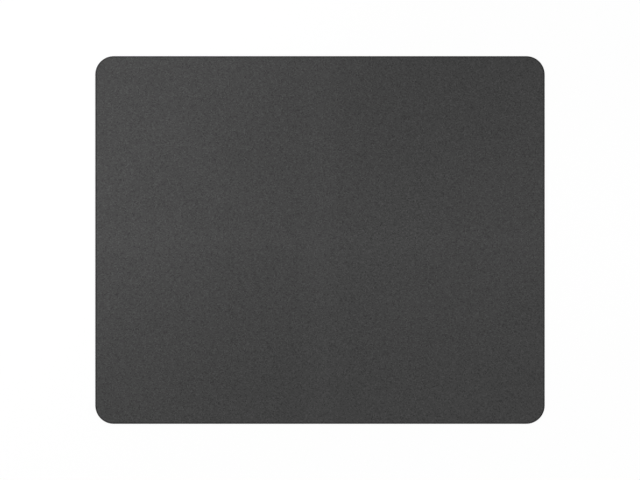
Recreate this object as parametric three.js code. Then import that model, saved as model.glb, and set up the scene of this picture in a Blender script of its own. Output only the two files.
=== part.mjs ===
// Cloth-faced mouse pad
// A knitted face, a hot-melt film and a foamed rubber base are laminated as sheets, and one
// die then cuts the pad out of them. It lies flat on a desk, and nothing on it moves.
// Millimetres, +Z up. The origin is on the desk under the middle of the pad, X runs across
// the pad, and Y runs from the wrist towards the screen.

import * as THREE from 'three';

// Outline of the cutting die
const padWidth = 220;
const padDepth = 180;
const cornerRadius = 9;

// Thickness of each layer, from the desk upwards
const baseThickness = 1.55;
const filmThickness = 0.1;
const faceThickness = 0.35;

// Edges that the die leaves: it presses the face down along a rim, and the foam, no longer
// squeezed, springs out past the face and is a little hollow above a softened foot
const faceSetback = 0.12;
const rimWidth = 0.8;
const rimDrop = 0.3;
const footRadius = 0.2;
const sideHollow = 0.12;

// A rounded edge leaves at least a little of its layer's side upright
const largestRoundShare = 0.9;

// Facets of a quarter turn, and of the hollow side
const cornerFacets = 16;
const roundFacets = 5;
const hollowFacets = 6;

// Colours and finishes
const clothLook = { color: '#474747', roughness: 0.95, metalness: 0 };
const filmLook = { color: '#2b2a28', roughness: 0.6, metalness: 0 };
const rubberLook = { color: '#1d1d1d', roughness: 0.9, metalness: 0 };

// The die's outline, drawn in by an inset, as one ring of points at a height
function ring({ inset, height }) {
  const middleX = padWidth / 2 - cornerRadius;
  const middleY = padDepth / 2 - cornerRadius;
  const radius = cornerRadius - inset;
  const points = [];
  for (let corner = 0; corner < 4; corner += 1) {
    const startAngle = (corner * Math.PI) / 2;
    const signX = corner === 0 || corner === 3 ? 1 : -1;
    const signY = corner < 2 ? 1 : -1;
    for (let facet = 0; facet <= cornerFacets; facet += 1) {
      const angle = startAngle + (facet / cornerFacets) * (Math.PI / 2);
      const x = signX * middleX + radius * Math.cos(angle);
      const y = signY * middleY + radius * Math.sin(angle);
      points.push(new THREE.Vector3(x, y, height));
    }
  }
  return points;
}

// A closed slab: its side passes through one ring for each step of the edge, from the
// underside up, and a flat fan of triangles closes each end
function slab(edge) {
  const rings = edge.map(ring);
  const ringLength = rings[0].length;
  const underMiddle = new THREE.Vector3(0, 0, edge[0].height);
  const topMiddle = new THREE.Vector3(0, 0, edge.at(-1).height);
  const points = [underMiddle, ...rings.flat(), topMiddle];
  const topLevel = rings.length - 1;
  const onRing = (level, place) => 1 + level * ringLength + (place % ringLength);
  const triangles = [];
  for (let place = 0; place < ringLength; place += 1) {
    triangles.push(0, onRing(0, place + 1), onRing(0, place));
    for (let level = 0; level < topLevel; level += 1) {
      const lower = onRing(level, place);
      const lowerNext = onRing(level, place + 1);
      const upper = onRing(level + 1, place);
      const upperNext = onRing(level + 1, place + 1);
      triangles.push(lower, lowerNext, upperNext);
      triangles.push(lower, upperNext, upper);
    }
    triangles.push(onRing(topLevel, place), onRing(topLevel, place + 1), points.length - 1);
  }
  const geometry = new THREE.BufferGeometry().setFromPoints(points);
  geometry.setIndex(triangles);
  geometry.computeVertexNormals();
  return geometry;
}

// A layer of the laminate, with its underside at a height above the desk
function layer(name, edge, look, underside) {
  const mesh = new THREE.Mesh(slab(edge), new THREE.MeshStandardMaterial(look));
  mesh.name = name;
  mesh.position.z = underside;
  return mesh;
}

// Foamed rubber: flat grip face, softened foot and hollow cut side
function rubberBase() {
  const radius = Math.min(footRadius, largestRoundShare * baseThickness);
  const edge = [];
  for (let facet = 0; facet <= roundFacets; facet += 1) {
    const angle = (facet / roundFacets) * (Math.PI / 2);
    edge.push({ inset: radius * (1 - Math.sin(angle)), height: radius * (1 - Math.cos(angle)) });
  }
  for (let facet = 1; facet <= hollowFacets; facet += 1) {
    const climb = facet / hollowFacets;
    const height = radius + climb * (baseThickness - radius);
    edge.push({ inset: sideHollow * Math.sin(climb * Math.PI), height });
  }
  return layer('rubber_base', edge, rubberLook, 0);
}

// Hot-melt film: a plain skin on the rubber, cut flush with it
function bondFilm() {
  const edge = [
    { inset: 0, height: 0 },
    { inset: 0, height: filmThickness },
  ];
  return layer('bond_film', edge, filmLook, baseThickness);
}

// Knitted cloth: flat running face, with its rim pressed down in a quarter of an ellipse
function clothFace() {
  const drop = Math.min(rimDrop, largestRoundShare * faceThickness);
  const edge = [{ inset: faceSetback, height: 0 }];
  for (let facet = 0; facet <= roundFacets; facet += 1) {
    const angle = (facet / roundFacets) * (Math.PI / 2);
    const inset = faceSetback + rimWidth * (1 - Math.cos(angle));
    edge.push({ inset, height: faceThickness - drop * (1 - Math.sin(angle)) });
  }
  return layer('cloth_face', edge, clothLook, baseThickness + filmThickness);
}

const mousePad = new THREE.Group();
mousePad.add(rubberBase(), bondFilm(), clothFace());

export default mousePad;
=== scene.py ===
# %% [markdown]
# # A cloth-faced mouse pad
#
# From above, a mouse pad is no more than a dark sheet with round corners, so its looks come
# from its finish and its edge. The real pad is a sandwich. Fine knitted cloth is glued with
# hot-melt film onto foamed rubber, and one steel-rule die stamps the pad out of the
# sandwich. We follow the same order here: lay out a sheet, cut it with a die, give it
# thickness, and then finish its edge.
#
# The first cell loads the engineering model as a fixed frame. The width, the depth and the
# height of every layer are read from it, so that what we model fits the space that it has.

# %% Load the frame
import math

import bmesh
import bpy
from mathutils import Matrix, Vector


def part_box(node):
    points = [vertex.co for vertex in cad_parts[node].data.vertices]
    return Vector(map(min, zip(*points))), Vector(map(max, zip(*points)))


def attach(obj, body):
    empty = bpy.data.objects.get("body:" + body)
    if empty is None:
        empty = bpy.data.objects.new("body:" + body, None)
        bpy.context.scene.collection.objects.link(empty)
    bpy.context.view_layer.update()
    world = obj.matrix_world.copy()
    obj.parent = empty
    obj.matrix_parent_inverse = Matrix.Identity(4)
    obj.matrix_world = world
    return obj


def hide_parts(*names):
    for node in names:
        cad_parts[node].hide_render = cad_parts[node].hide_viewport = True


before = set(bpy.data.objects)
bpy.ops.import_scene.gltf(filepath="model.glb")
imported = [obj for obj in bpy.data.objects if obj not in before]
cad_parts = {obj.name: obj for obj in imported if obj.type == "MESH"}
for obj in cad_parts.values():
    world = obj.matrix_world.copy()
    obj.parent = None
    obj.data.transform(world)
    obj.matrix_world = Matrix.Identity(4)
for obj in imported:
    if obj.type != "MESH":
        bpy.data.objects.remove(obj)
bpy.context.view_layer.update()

base_low, base_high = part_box("rubber_base")
face_low, face_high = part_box("cloth_face")
pad_width = base_high.x - base_low.x
pad_depth = base_high.y - base_low.y
mm = 0.001

pad_size = [round(size / mm, 2) for size in (pad_width, pad_depth, face_high.z)]
print("pad of", pad_size, "mm")

# %% [markdown]
# ## The camera
#
# The picture looks straight down on the pad, and its edges are parallel to the frame. That is
# how a flat thing is copied: a long lens far away, so that no side leans. We choose the
# lens first and then work out how high the camera hangs, so that one pixel of the picture
# covers the right length of cloth.

# %% Hang the camera
picture_width = 640
mm_per_pixel = 0.4893
lens = 100
sensor = 36

seen_width = picture_width * mm_per_pixel * mm
camera_height = face_high.z + seen_width * lens / sensor

bpy.ops.object.camera_add(location=(0, 0, camera_height), rotation=(0, 0, 0))
camera = bpy.context.object
camera.name = "camera"
camera.data.lens = lens
camera.data.sensor_width = sensor
bpy.context.scene.camera = camera

print("camera at", round(camera_height, 3), "m sees", round(seen_width, 4), "m of the pad's level")

# %% [markdown]
# ## Colours and nodes
#
# Colours are easiest to read as the hex codes of a paint program. Those are stored for a
# screen, while the renderer counts light, so one function turns the one into the other. The
# bare numbers in it are those of the sRGB standard.
#
# A second function adds a shader node, with its settings and its links in one call, and
# gives back one of its outputs. An input is called by its name, or by its number where
# several inputs share a name: _0 and _1 are the two numbers of a Math node, and _6 and _7
# are the two colours of a Mix node. A third function starts a material with no nodes in it.


# %% Three helpers for materials
def linear(code):
    shares = [int(code[place : place + 2], 16) / 255 for place in (1, 3, 5)]
    light = [s / 12.92 if s <= 0.04045 else ((s + 0.055) / 1.055) ** 2.4 for s in shares]
    return (*light, 1)


def add_node(tree, kind, settings=(), out=0, **inputs):
    made = tree.nodes.new("ShaderNode" + kind)
    for name, value in dict(settings).items():
        setattr(made, name, value)
    for name, value in inputs.items():
        socket = made.inputs[int(name[1:]) if name[0] == "_" else name.replace("_", " ")]
        if isinstance(value, bpy.types.NodeSocket):
            tree.links.new(value, socket)
        else:
            socket.default_value = value
    return made.outputs[out] if made.outputs else None


def new_material(name):
    made = bpy.data.materials.new(name)
    made.use_nodes = True
    made.node_tree.nodes.clear()
    return made


print("a mid grey is", [round(x, 3) for x in linear("#808080")])

# %% [markdown]
# ## White paper and a white room
#
# The pad lies on a large sheet of white paper, which the picture shows as pure white. We
# don't get there with more light, because that would burn the cloth out as well. Instead
# the paper glows, but only towards the camera, so the glow doesn't light the pad. A small
# share of the paper's real shading is kept, and the pad's soft shadow with it.


# %% Lay the paper
def glow_to_camera(tree):
    seen = 0
    for way in ("Is Camera Ray", "Is Glossy Ray", "Is Transmission Ray"):
        ray = add_node(tree, "LightPath", out=way)
        seen = add_node(tree, "Math", {"operation": "ADD", "use_clamp": True}, _0=seen, _1=ray)
    return seen


paper_size = 8
glow_share = 0.95

bpy.ops.mesh.primitive_plane_add(size=paper_size, location=(0, 0, 0))
paper = bpy.context.object
paper.name = "white_paper"

matt_paper = new_material("White paper, matt")
tree = matt_paper.node_tree
white = add_node(tree, "BsdfDiffuse", Color=linear("#fafafa"))
glow = add_node(tree, "Emission", Color=(1, 1, 1, 1), Strength=1)
glowing = glow_to_camera(tree)
amount = add_node(tree, "Math", {"operation": "MULTIPLY"}, _0=glowing, _1=glow_share)
mixed = add_node(tree, "MixShader", _0=amount, _1=white, _2=glow)
add_node(tree, "OutputMaterial", Surface=mixed)
paper.data.materials.append(matt_paper)

print("paper of", paper_size, "m")

# %% [markdown]
# The room is white in the same way. The camera sees it at full strength, but it lights the
# pad at half of that, and the lamps give the rest. The view transform is Standard, which
# shows each colour as it is. Blender's own choice would grey the white and fade the cloth.

# %% Light the room
room_light = 0.5

world = bpy.data.worlds.new("white_room")
bpy.context.scene.world = world
world.use_nodes = True
tree = world.node_tree
tree.nodes.clear()
seen_room = add_node(tree, "Background", Color=(1, 1, 1, 1), Strength=1)
lit_room = add_node(tree, "Background", Color=(1, 1, 1, 1), Strength=room_light)
mixed = add_node(tree, "MixShader", _0=glow_to_camera(tree), _1=lit_room, _2=seen_room)
add_node(tree, "OutputWorld", Surface=mixed)

bpy.context.scene.view_settings.view_transform = "Standard"

print("room at", room_light, "of full strength")

# %% [markdown]
# ## The lamps
#
# A large softbox overhead and the white room give most of the light, so the cloth shows
# about the colour that it is dyed. Three weaker lamps shape it, each in a place of its own,
# so that each can be set by itself. A key on the left makes that side a little brighter, a
# second one rakes over the pad from behind and lights the far left quarter, and a strip
# box, hung along the middle, makes the middle a little brighter than the near and the far
# side. The spread of a lamp is the grid in front of it: the smaller it is, the more the
# light keeps to one pool. Places are in metres, from the middle of the pad.


# %% Hang the lamps
def hang_softbox(name, place, aim, size, watts, spread_degrees):
    away = (Vector(place) - Vector(aim)).to_track_quat("Z", "Y").to_euler()
    bpy.ops.object.light_add(type="AREA", location=place, rotation=away)
    lamp = bpy.context.object
    lamp.name = name
    lamp.data.shape = "RECTANGLE"
    lamp.data.size, lamp.data.size_y = size
    lamp.data.energy = watts
    lamp.data.spread = math.radians(spread_degrees)


lamps = {
    "top_softbox": {
        "place": (0, 0, 2),
        "aim": (0, 0, 0),
        "size": (1.6, 1.6),
        "watts": 12.77,
        "spread_degrees": 180,
    },
    "left_key": {
        "place": (-1.1, 0.14, 1.12),
        "aim": (-0.374, -0.17, 0),
        "size": (0.3, 0.3),
        "watts": 1.31,
        "spread_degrees": 98,
    },
    "far_key": {
        "place": (0.064, 0.475, 0.286),
        "aim": (-0.153, 0.158, 0),
        "size": (0.3, 0.3),
        "watts": 0.163,
        "spread_degrees": 22.7,
    },
    "strip_box": {
        "place": (0, 0.005, 0.841),
        "aim": (0, 0.005, 0),
        "size": (1, 0.02),
        "watts": 0.029,
        "spread_degrees": 11.2,
    },
}
for name, lamp in lamps.items():
    hang_softbox(name, **lamp)

print("lamps:", ", ".join(lamps))

# %% [markdown]
# ## The die
#
# The blade of a steel-rule die is a strip of steel, bent to the pad's outline. We stand in
# for it with a ring of flat cuts: each cut is a plane that touches the outline from one
# direction, and all that lies beyond it falls away. Four of the cuts make the straight
# sides, and the ones between them round the corners.
#
# A boolean with a rounded block could cut the pad too, but it needs closed solids and leaves
# stray points where it crosses a fine grid. Flat cuts work on an open sheet, and its side
# can then be raised from the edge that they leave.
#
# A sheet is laid with its face down, because the face that we lay is the underside of the
# layer. Its side then grows upwards from the edge that the die has left open.

# %% Make the die
corner_radius = 9 * mm
die_cuts = 96
closest_points = 0.001 * mm


def lay_sheet(name, size, cells, height, turned=0.0):
    bpy.ops.object.select_all(action="DESELECT")
    bpy.ops.mesh.primitive_grid_add(
        x_subdivisions=cells,
        y_subdivisions=cells,
        size=size,
        location=(0, 0, height),
        rotation=(0, 0, turned),
    )
    piece = bpy.context.object
    piece.name = name
    piece.data.name = name
    bpy.ops.object.transform_apply(location=True, rotation=True, scale=True)
    bpy.ops.object.mode_set(mode="EDIT")
    bpy.ops.mesh.select_all(action="SELECT")
    bpy.ops.mesh.flip_normals()
    return piece


def cut_with_die(drawn_in):
    for cut in range(die_cuts):
        turn = 2 * math.pi * cut / die_cuts
        way = Vector((math.cos(turn), math.sin(turn), 0))
        across = (pad_width / 2 - corner_radius) * abs(way.x)
        along = (pad_depth / 2 - corner_radius) * abs(way.y)
        touch = way * (across + along + corner_radius - drawn_in)
        bpy.ops.mesh.select_all(action="SELECT")
        bpy.ops.mesh.bisect(
            plane_co=touch, plane_no=way, clear_outer=True, threshold=closest_points
        )


def select_open_edge():
    bpy.ops.mesh.select_mode(type="EDGE")
    bpy.ops.mesh.select_all(action="DESELECT")
    bpy.ops.mesh.select_non_manifold(extend=False)


def raise_wall(rise, outwards):
    bpy.ops.mesh.extrude_edges_move(TRANSFORM_OT_translate={"value": (0, 0, rise)})
    bpy.ops.transform.shrink_fatten(value=outwards, use_even_offset=True)


print("die of", die_cuts, "cuts with", corner_radius / mm, "mm corners")

# %% [markdown]
# ## The finish of the rubber
#
# Foamed rubber has two kinds of face. Where the die cut it, the cells of the foam lie open,
# as pores of a tenth to a quarter of a millimetre that swallow the light. Where a roller
# pressed it, it has a closed skin that is a little shiny. So the base gets two materials.
# Both are rubber with carbon black in it, which gives a very dark grey and never a real
# black. A Voronoi texture suits the pores, because its value is low in the middle of each
# of its cells and high at the walls between them.
#
# Patterns are measured in millimetres. Object coordinates are in metres, so a Mapping node
# multiplies them by a thousand first.


# %% Mix the die-cut foam
def millimetres(tree):
    place = add_node(tree, "TexCoord", out="Object")
    return add_node(tree, "Mapping", Vector=place, Scale=(1 / mm, 1 / mm, 1 / mm))


pore_size = 0.22
pore_edge = {"From_Min": 0.1, "From_Max": 0.6}
batch_size = 3

cut_foam = new_material("Natural rubber foam, die-cut")
tree = cut_foam.node_tree
place = millimetres(tree)
pores = add_node(tree, "TexVoronoi", Vector=place, Scale=1 / pore_size)
walls = add_node(tree, "MapRange", Value=pores, **pore_edge)
batch = add_node(tree, "TexNoise", Vector=place, Scale=1 / batch_size)
tones = {"_6": linear("#191919"), "_7": linear("#232322")}
compound = add_node(tree, "Mix", {"data_type": "RGBA"}, out=2, _0=batch, **tones)
tones = {"_6": linear("#0e0e0e"), "_7": compound}
colour = add_node(tree, "Mix", {"data_type": "RGBA"}, out=2, _0=walls, **tones)
relief = add_node(tree, "Bump", Strength=0.8, Distance=0.08 * mm, Height=walls)
finish = add_node(
    tree,
    "BsdfPrincipled",
    Base_Color=colour,
    Roughness=0.95,
    IOR=1.52,
    Specular_IOR_Level=0.3,
    Normal=relief,
)
add_node(tree, "OutputMaterial", Surface=finish)

print(cut_foam.name, "has", len(tree.nodes), "nodes")

# %% [markdown]
# The pressed skin is pebbled like a fine leather, about half a millimetre from one pebble
# to the next, with a pinhole here and there where a bubble has burst. The dark middles of the
# pinholes are painted shade. The recesses keep the dull dust of the mould, while the ribs
# between them are rubbed darker and smoother by the desk. How far a point lies above the
# desk tells the two apart, in millimetres.

# %% Colour the pressed skin
pinhole_spacing = 1.2
pinhole_edge = {"From_Min": 0.06, "From_Max": 0.16}
handling_size = 14
dusty_heights = {"From_Min": 0.02, "From_Max": 0.2}

pressed_skin = new_material("Natural rubber foam, roller-pressed")
tree = pressed_skin.node_tree
place = millimetres(tree)
above_desk = add_node(tree, "SeparateXYZ", out="Z", Vector=place)
dust = add_node(tree, "MapRange", Value=above_desk, **dusty_heights)
bubbles = add_node(tree, "TexVoronoi", Vector=place, Scale=1 / pinhole_spacing)
whole = add_node(tree, "MapRange", Value=bubbles, **pinhole_edge)
handling = add_node(tree, "TexNoise", Vector=place, Scale=1 / handling_size, Detail=3)
tones = {"_6": linear("#151515"), "_7": linear("#212120")}
rubbed = add_node(tree, "Mix", {"data_type": "RGBA"}, out=2, _0=handling, **tones)
tones = {"_6": rubbed, "_7": linear("#2a2928")}
skin = add_node(tree, "Mix", {"data_type": "RGBA"}, out=2, _0=dust, **tones)
# The near-black tone in the middles of the pinholes is painted shade
tones = {"_6": linear("#0c0c0c"), "_7": skin}
colour = add_node(tree, "Mix", {"data_type": "RGBA"}, out=2, _0=whole, **tones)

print(pressed_skin.name, "has", len(tree.nodes), "nodes so far")

# %% [markdown]
# The skin is smoother in some places than in others, where hands and the desk have rubbed
# it, and that follows the same broad noise as its colour. The dust makes the recesses
# rougher. One number for the whole skin would be simpler, but rubber that shines evenly all
# over looks like plastic. The relief is made of the pebbles and the pinholes.

# %% Roughen the pressed skin
pebble_size = 0.5
dust_roughness = 0.2

polish = {"From_Min": 0.3, "From_Max": 0.7, "To_Min": 0.52, "To_Max": 0.66}
polished = add_node(tree, "MapRange", Value=handling, **polish)
dulled = {"_0": dust, "_1": dust_roughness, "_2": polished}
roughness = add_node(tree, "Math", {"operation": "MULTIPLY_ADD"}, **dulled)
pebbles = add_node(tree, "TexNoise", Vector=place, Scale=1 / pebble_size, Detail=3, Roughness=0.6)
surface = add_node(tree, "Math", {"operation": "ADD"}, _0=pebbles, _1=whole)
relief = add_node(tree, "Bump", Strength=0.7, Distance=0.08 * mm, Height=surface)
finish = add_node(
    tree,
    "BsdfPrincipled",
    Base_Color=colour,
    Roughness=roughness,
    IOR=1.52,
    Specular_IOR_Level=0.4,
    Normal=relief,
)
add_node(tree, "OutputMaterial", Surface=finish)

print(pressed_skin.name, "has", len(tree.nodes), "nodes")

# %% [markdown]
# ## The rubber base
#
# The base is a sheet of foam, about a millimetre and a half thick. The pattern in its
# underside is what grips the desk. We lay the sheet as a grid that is turned by 45 degrees,
# so that its cells lie as diamonds, and most of the work is then done by the sheet: each
# cell will become one recess.
#
# The die presses the foam down while it cuts, and the foam springs back behind the blade.
# So its side isn't a straight wall. It starts with a small soft foot, and above that it is
# a little hollow. We raise it in short steps: those of the foot follow a quarter of a
# circle, and those of the hollow follow half a wave of a sine.

# %% Stamp the base
cell = 2.8 * mm
foot = 0.2 * mm
hollow = 0.12 * mm
foot_steps = 4
hollow_steps = 6
quarter_turn = math.pi / 2
half_turn = math.pi


def step_angles(step, steps, turn):
    return turn * step / steps, turn * (step + 1) / steps


cells = math.ceil(math.hypot(pad_width, pad_depth) / cell)
foam = lay_sheet("foam_rubber", cells * cell, cells, base_low.z, turned=math.pi / 4)
foam.data.materials.append(cut_foam)
foam.data.materials.append(pressed_skin)
foam.active_material_index = 1
bpy.ops.object.material_slot_assign()

cut_with_die(drawn_in=foot)
select_open_edge()
for step in range(foot_steps):
    low, high = step_angles(step, foot_steps, quarter_turn)
    rise = foot * (math.cos(low) - math.cos(high))
    raise_wall(rise, outwards=foot * (math.sin(high) - math.sin(low)))
for step in range(hollow_steps):
    low, high = step_angles(step, hollow_steps, half_turn)
    rise = (base_high.z - base_low.z - foot) / hollow_steps
    raise_wall(rise, outwards=hollow * (math.sin(low) - math.sin(high)))
bpy.ops.mesh.edge_face_add()

print("base from a sheet of", cells, "by", cells, "cells")

# %% [markdown]
# The top is now one big face with hundreds of corners. Smooth shading would bend the light
# all over it, so the faces are told which way is out, and a narrow ring is inset in the top,
# which holds the rest of it flat. All but the flat underside then get the cut foam.
#
# Faces are picked by their normal, the direction that they look in. Its Z is 1 where a face
# looks straight up and -1 where it looks straight down. At 0.97 a face leans by 14 degrees,
# and we take all that leans less as level.

# %% Close the base
holding_ring = 1 * mm
same_point = 0.0005 * mm
level_share = 0.97


def select_faces(piece, wanted):
    bpy.ops.mesh.select_mode(type="FACE")
    bpy.ops.mesh.select_all(action="DESELECT")
    shape = bmesh.from_edit_mesh(piece.data)
    for face in shape.faces:
        face.select_set(wanted(face))
    bmesh.update_edit_mesh(piece.data)
    return sum(face.select for face in shape.faces)


def hold_top_flat(piece):
    bpy.ops.mesh.select_all(action="SELECT")
    bpy.ops.mesh.remove_doubles(threshold=same_point)
    bpy.ops.mesh.normals_make_consistent(inside=False)
    half_area = pad_width * pad_depth / 2
    select_faces(piece, lambda face: face.normal.z > level_share and face.calc_area() > half_area)
    bpy.ops.mesh.inset(thickness=holding_ring, depth=0)


hold_top_flat(foam)
cut_faces = select_faces(foam, lambda face: face.normal.z > -level_share)
foam.active_material_index = 0
bpy.ops.object.material_slot_assign()

print(cut_faces, "faces of cut foam")

# %% [markdown]
# For the grip pattern each whole cell gets two insets. The first leaves a flat rib between
# the cells. The second sinks the middle, and leaves a sloping wall as a roller does. Rows
# of small cutters could sink them too, but the cells lie in the pattern already, and one
# inset works on all of them. Cells that the die has cut through stay plain, since the blade
# crushes the pattern there.

# %% Press the grip pattern
rib = 0.5 * mm
slope = 0.2 * mm
recess = 0.25 * mm
whole_cell_share = 0.99
smooth_below = math.radians(40)


def is_whole_cell(face):
    looks_down = face.normal.z < -level_share
    return looks_down and len(face.verts) == 4 and face.calc_area() > whole_cell_share * cell**2


recesses = select_faces(foam, is_whole_cell)
bpy.ops.mesh.inset(use_individual=True, thickness=rib / 2, depth=0)
bpy.ops.mesh.inset(use_individual=True, thickness=slope, depth=-recess)
bpy.ops.object.mode_set(mode="OBJECT")
bpy.ops.object.shade_smooth_by_angle(angle=smooth_below)

print(recesses, "recesses, and", len(foam.data.polygons), "faces in the base")

# %% [markdown]
# ## The film
#
# Between rubber and cloth lies a tenth of a millimetre of hot-melt film. It only shows as
# a dark line along the cut edge, where the press has squeezed it out a little. Its CAD node
# has the right shape already, so it keeps its mesh and gets a better finish.

# %% Finish the film
squeeze_size = 0.8

melted_film = new_material("Hot-melt polyurethane film, laminated")
tree = melted_film.node_tree
place = millimetres(tree)
ripples = add_node(tree, "TexNoise", Vector=place, Scale=1 / squeeze_size, Detail=2)
tones = {"_6": linear("#1c1b1a"), "_7": linear("#2b2a28")}
colour = add_node(tree, "Mix", {"data_type": "RGBA"}, out=2, _0=ripples, **tones)
satin = {"From_Min": 0.3, "From_Max": 0.7, "To_Min": 0.45, "To_Max": 0.65}
roughness = add_node(tree, "MapRange", Value=ripples, **satin)
relief = add_node(tree, "Bump", Strength=0.6, Distance=0.05 * mm, Height=ripples)
finish = add_node(
    tree,
    "BsdfPrincipled",
    Base_Color=colour,
    Roughness=roughness,
    IOR=1.5,
    Specular_IOR_Level=0.2,
    Normal=relief,
)
add_node(tree, "OutputMaterial", Surface=finish)

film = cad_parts["bond_film"]
film.data.materials.clear()
film.data.materials.append(melted_film)

print(film.name, "is now", film.data.materials[0].name)

# %% [markdown]
# ## The finish of the cloth
#
# The face is a fine weft knit of polyester, dyed dark grey and pressed with heat. From near,
# its loops stand in columns, called wales, and each loop shows as a small V. From arm's
# length the loops merge into a fine grain, because each yarn took the dye a little
# differently. So the finish has three scales: the loops, the grain, and a broad unevenness
# that the press has left.
#
# A picture of such cloth could be tiled over the face, but on a surface as plain as this
# the eye soon finds the repeat. So the loops are worked out, from the width of a wale and
# the height of a row of loops, the course.
#
# A real knit of this kind has about three loops to a millimetre, which is too fine for any
# picture of the whole pad. We draw about two to a millimetre, or one to a pixel. The exact
# width of a wale was found by trial: when the pad leaves Blender, the cloth is painted onto
# a map with 0.22 mm to a pixel, and slightly narrower wales beat against those pixels and
# leave streaks.
#
# The V comes from the distance to the middle of the wale: added to the place along the
# wale, it slants each row of loops the one way on the left and the other way on the right.
# Across each leg of the V and along its yarn, the height follows a sine. A slow wobble
# keeps the rows from lining up with the pixels.

# %% Knit the loops
wale = 0.57
course = 0.44
half_wale = 0.5
wobble_size = 4
wobble_reach = 0.5
leg_slant = 1.1

knit = new_material("Polyester knit, dyed and heat-pressed")
tree = knit.node_tree
place = millimetres(tree)
wobble = add_node(tree, "TexNoise", out="Color", Vector=place, Scale=1 / wobble_size, Detail=1)
reach = (wobble_reach, wobble_reach, 0)
wobbled = add_node(tree, "VectorMath", {"operation": "MULTIPLY_ADD"}, _0=wobble, _1=reach, _2=place)
gauge = (1 / wale, 1 / course, 0)
loop_place = add_node(tree, "VectorMath", {"operation": "MULTIPLY"}, _0=wobbled, _1=gauge)
across = add_node(tree, "SeparateXYZ", out="X", Vector=loop_place)
along = add_node(tree, "SeparateXYZ", out="Y", Vector=loop_place)

from_middle = add_node(tree, "Math", {"operation": "PINGPONG"}, _0=across, _1=half_wale)
row = add_node(tree, "Math", {"operation": "MULTIPLY_ADD"}, _0=from_middle, _1=leg_slant, _2=along)
up_yarn = add_node(tree, "Math", {"operation": "FRACT"}, _0=row)
heights = []
for travel, half_turns in ((from_middle, 2), (up_yarn, 1)):
    angle = add_node(tree, "Math", {"operation": "MULTIPLY"}, _0=travel, _1=half_turns * math.pi)
    heights.append(add_node(tree, "Math", {"operation": "SINE"}, _0=angle))
loops = add_node(tree, "Math", {"operation": "MULTIPLY"}, _0=heights[0], _1=heights[1])

print("loops of", wale, "by", course, "mm")

# %% [markdown]
# Two faint, slightly paler bands, each about a centimetre wide, cross at the middle of the
# pad. They are painted light, brighter strips of light along the two middle lines, and not a
# mark in the cloth. A band is straight, so it needs no noise, only the distance from the
# middle: it is strongest on its middle line and fades out at its reach, in millimetres. Its
# share is what it adds to the shade of the cloth, which runs from 0 to 1.

# %% Paint the light bands
# Two bands of painted light, along the middle lines of the cloth
painted_light_bands = {"X": {"reach": 13, "share": 0.042}, "Y": {"reach": 10.5, "share": 0.033}}
soft_edge = {"interpolation_type": "SMOOTHSTEP"}

painted_band_light = 0
for axis, band in painted_light_bands.items():
    across_band = add_node(tree, "SeparateXYZ", out=axis, Vector=place)
    from_band_line = add_node(tree, "Math", {"operation": "ABSOLUTE"}, _0=across_band)
    fade = {"From_Min": band["reach"], "From_Max": 0, "To_Max": band["share"]}
    band_brightening = add_node(tree, "MapRange", soft_edge, Value=from_band_line, **fade)
    painted_band_light = add_node(tree, "Math", {"operation": "ADD"}, _0=painted_band_light, _1=band_brightening)

# The reach of each band of painted light, in millimetres
print("fold marks reach", [band["reach"] for band in painted_light_bands.values()], "mm")

# %% [markdown]
# Each loop now gets a shade of its own. Its column and its row are whole numbers, and a
# white noise turns each pair of them into a random number from 0 to 1. Most loops took the
# dye alike, and only a few stand out. So the number is spread to run from -1 to 1 and is
# then cubed, which brings most of the loops close to 0.
#
# A cloudy noise, about as wide as a loop, is the melange of the yarn, and a very fine one is
# its fibres. Loop and melange are about as large as one pixel of the picture, so together
# they are the grain that we see there. The last noise is some centimetres wide, where the
# press was warmer.
#
# The shares say how much each pattern adds to the shade, on top of the painted light bands.
# The share of the loops' height is painted shade in the gaps between the loops and a painted
# highlight on their crowns. The sum is then spread over the dye, from its deepest tone to
# its palest.

# %% Dye the loops
melange_size = 0.5
fibre_size = 0.25
mottle_size = 30
evenness = 3

odd_loop_share = 0.31
melange_share = 0.53
fibre_share = 0.38
mottle_share = 0.08
# The loops' height in the colour is painted shade in their gaps and painted highlight on their
# crowns
loop_shading_share = 0.45
deepest_dye = 0.1395
palest_dye = 1.1395

numbers = {}
for axis, travel in (("X", across), ("Y", row)):
    numbers[axis] = add_node(tree, "Math", {"operation": "FLOOR"}, _0=travel)
loop_number = add_node(tree, "CombineXYZ", **numbers)
chance = add_node(tree, "TexWhiteNoise", {"noise_dimensions": "2D"}, Vector=loop_number)
centred = add_node(tree, "Math", {"operation": "MULTIPLY_ADD"}, _0=chance, _1=2, _2=-1)
odd_loops = add_node(tree, "Math", {"operation": "POWER"}, _0=centred, _1=evenness)
melange = add_node(tree, "TexNoise", Vector=place, Scale=1 / melange_size, Detail=1)
fibres = add_node(tree, "TexNoise", Vector=place, Scale=1 / fibre_size, Detail=1)
mottle = add_node(tree, "TexNoise", Vector=place, Scale=1 / mottle_size, Detail=2)

shade = painted_band_light
for pattern, share in (
    (odd_loops, odd_loop_share),
    (melange, melange_share),
    (fibres, fibre_share),
    (mottle, mottle_share),
    (loops, loop_shading_share),
):
    shade = add_node(tree, "Math", {"operation": "MULTIPLY_ADD"}, _0=pattern, _1=share, _2=shade)
shade = add_node(tree, "MapRange", Value=shade, From_Min=deepest_dye, From_Max=palest_dye)
tones = {"_6": linear("#252525"), "_7": linear("#535353")}
dyed = add_node(tree, "Mix", {"data_type": "RGBA"}, out=2, _0=shade, **tones)

print(knit.name, "has", len(tree.nodes), "nodes so far")

# %% [markdown]
# The rim of the cloth is darker. That darkness is painted shade on the rolled edge. How far
# a point lies below the flat face tells the rim from it, and from about a third of the way
# down the cloth is fully dark.
#
# Polyester has an IOR of 1.57, but as a knit it scatters nearly all of its light, so the
# roughness is high and the mirror part low. The fine sheen is the light that its surface
# fibres catch when we look along it.

# %% Darken the rim and finish the cloth
rim_drop = 0.3 * mm
rim_shade_share = 0.3
uneven_loop_share = 0.4

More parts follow.
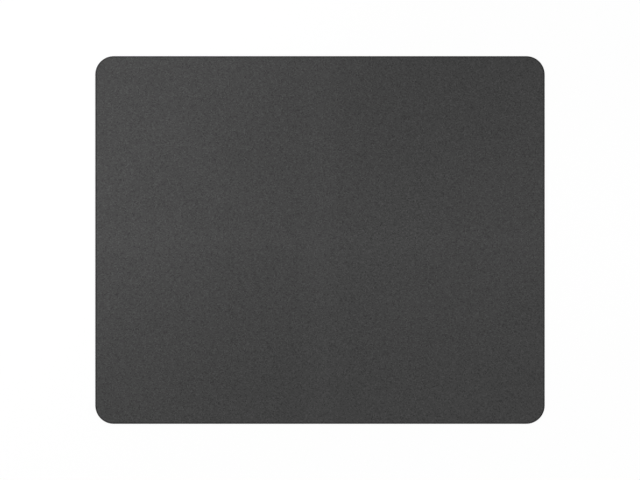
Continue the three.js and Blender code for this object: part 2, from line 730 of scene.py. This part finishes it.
above_desk = add_node(tree, "SeparateXYZ", out="Z", Vector=place)
face_level = face_high.z / mm
rim_level = face_level - rim_shade_share * rim_drop / mm
rim_shade_edge = {"From_Min": rim_level, "From_Max": face_level}
on_face = add_node(tree, "MapRange", Value=above_desk, **rim_shade_edge)
# The dark rim tone is painted shade on the rolled edge of the cloth
tones = {"_6": linear("#141414"), "_7": dyed}
colour = add_node(tree, "Mix", {"data_type": "RGBA"}, out=2, _0=on_face, **tones)
uneven = {"_0": chance, "_1": uneven_loop_share, "_2": loops}
cloth_height = add_node(tree, "Math", {"operation": "MULTIPLY_ADD"}, **uneven)
relief = add_node(tree, "Bump", Strength=1, Distance=0.05 * mm, Height=cloth_height)
finish = add_node(
    tree,
    "BsdfPrincipled",
    Base_Color=colour,
    Roughness=0.95,
    IOR=1.57,
    Specular_IOR_Level=0.12,
    Sheen_Weight=0.08,
    Sheen_Roughness=0.5,
    Normal=relief,
)
add_node(tree, "OutputMaterial", Surface=finish)

print(knit.name, "has", len(tree.nodes), "nodes")

# %% [markdown]
# ## The cloth
#
# The cloth is stamped by the same die, a little further in: the foam springs outwards when
# the blade is gone, and the cloth doesn't, so a thin dark lip shows all round. Its upper
# edge is pressed over in a quarter of an ellipse, wider than it is high.
#
# Cloth is usually draped by a simulation. This one is glued down flat before it is cut, so
# there is nothing to drape, and its finest detail, the pressed rim, is modelled directly.

# %% Stamp the cloth
lip = 0.12 * mm
rim_width = 0.8 * mm
rim_steps = 6

cloth = lay_sheet("knitted_cloth", size=2 * pad_width, cells=1, height=face_low.z)
cloth.data.materials.append(knit)
cut_with_die(drawn_in=lip)
select_open_edge()
raise_wall(face_high.z - face_low.z - rim_drop, outwards=0)
for step in range(rim_steps):
    low, high = step_angles(step, rim_steps, quarter_turn)
    rise = rim_drop * (math.sin(high) - math.sin(low))
    raise_wall(rise, outwards=rim_width * (math.cos(high) - math.cos(low)))
bpy.ops.mesh.edge_face_add()
hold_top_flat(cloth)
bpy.ops.object.mode_set(mode="OBJECT")
bpy.ops.object.shade_smooth_by_angle(angle=smooth_below)

print(len(cloth.data.polygons), "faces in the cloth")

# %% [markdown]
# ## Laid out flat
#
# When the pad leaves Blender, each finish is painted onto a picture, and a map says which
# spot of the picture goes where on the piece. The usual map gives the glued side, which
# nobody sees, as much room as the other one. So we lay out both pieces ourselves. The seen
# side fills the map in its true shape, with the cut edge folded out flat around it, and the
# glued side is a small stamp in the strip that is left over.

# %% Lay out the pieces
map_name = "OFBake"
map_pixels = 1024
folded_edge = 0.4 * mm
map_border = 0.5 * mm
stamp_share = 0.2

map_margin = base_high.z - base_low.z + map_border
map_size = pad_width + 2 * map_margin
seen_middle = Vector((map_size / 2, pad_depth / 2 + map_margin))
strip_start = pad_depth + 2 * map_margin
stamp_middle = Vector((stamp_share * pad_width, (strip_start + map_size) / 2))


def fold_out(point, seen_level):
    straight = Vector((pad_width / 2 - corner_radius, pad_depth / 2 - corner_radius))
    inner = [max(-end, min(end, at)) for at, end in zip(point.xy, straight)]
    outwards = point.xy - Vector(inner)
    if outwards.length > corner_radius - folded_edge:
        return point.xy + outwards.normalized() * abs(point.z - seen_level)
    return point.xy


def lay_out(piece, seen_level, seen_way):
    layout = piece.data.uv_layers.new(name=map_name)
    for face in piece.data.polygons:
        glued = face.normal.z * seen_way < -level_share
        for corner in face.loop_indices:
            point = piece.data.vertices[piece.data.loops[corner].vertex_index].co
            if glued:
                place = stamp_middle + stamp_share * Vector((-seen_way * point.x, point.y))
            else:
                spot = fold_out(point, seen_level)
                place = seen_middle + Vector((seen_way * spot.x, spot.y))
            layout.uv[corner].vector = place / map_size


lay_out(foam, seen_level=base_low.z, seen_way=-1)
lay_out(cloth, seen_level=face_high.z, seen_way=1)

print("a map", map_pixels, "pixels wide has", round(map_size / mm / map_pixels, 2), "mm to a pixel")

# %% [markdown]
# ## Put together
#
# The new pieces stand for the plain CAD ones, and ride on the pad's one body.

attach(foam, "root")
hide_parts("rubber_base")

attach(cloth, "root")
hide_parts("cloth_face")
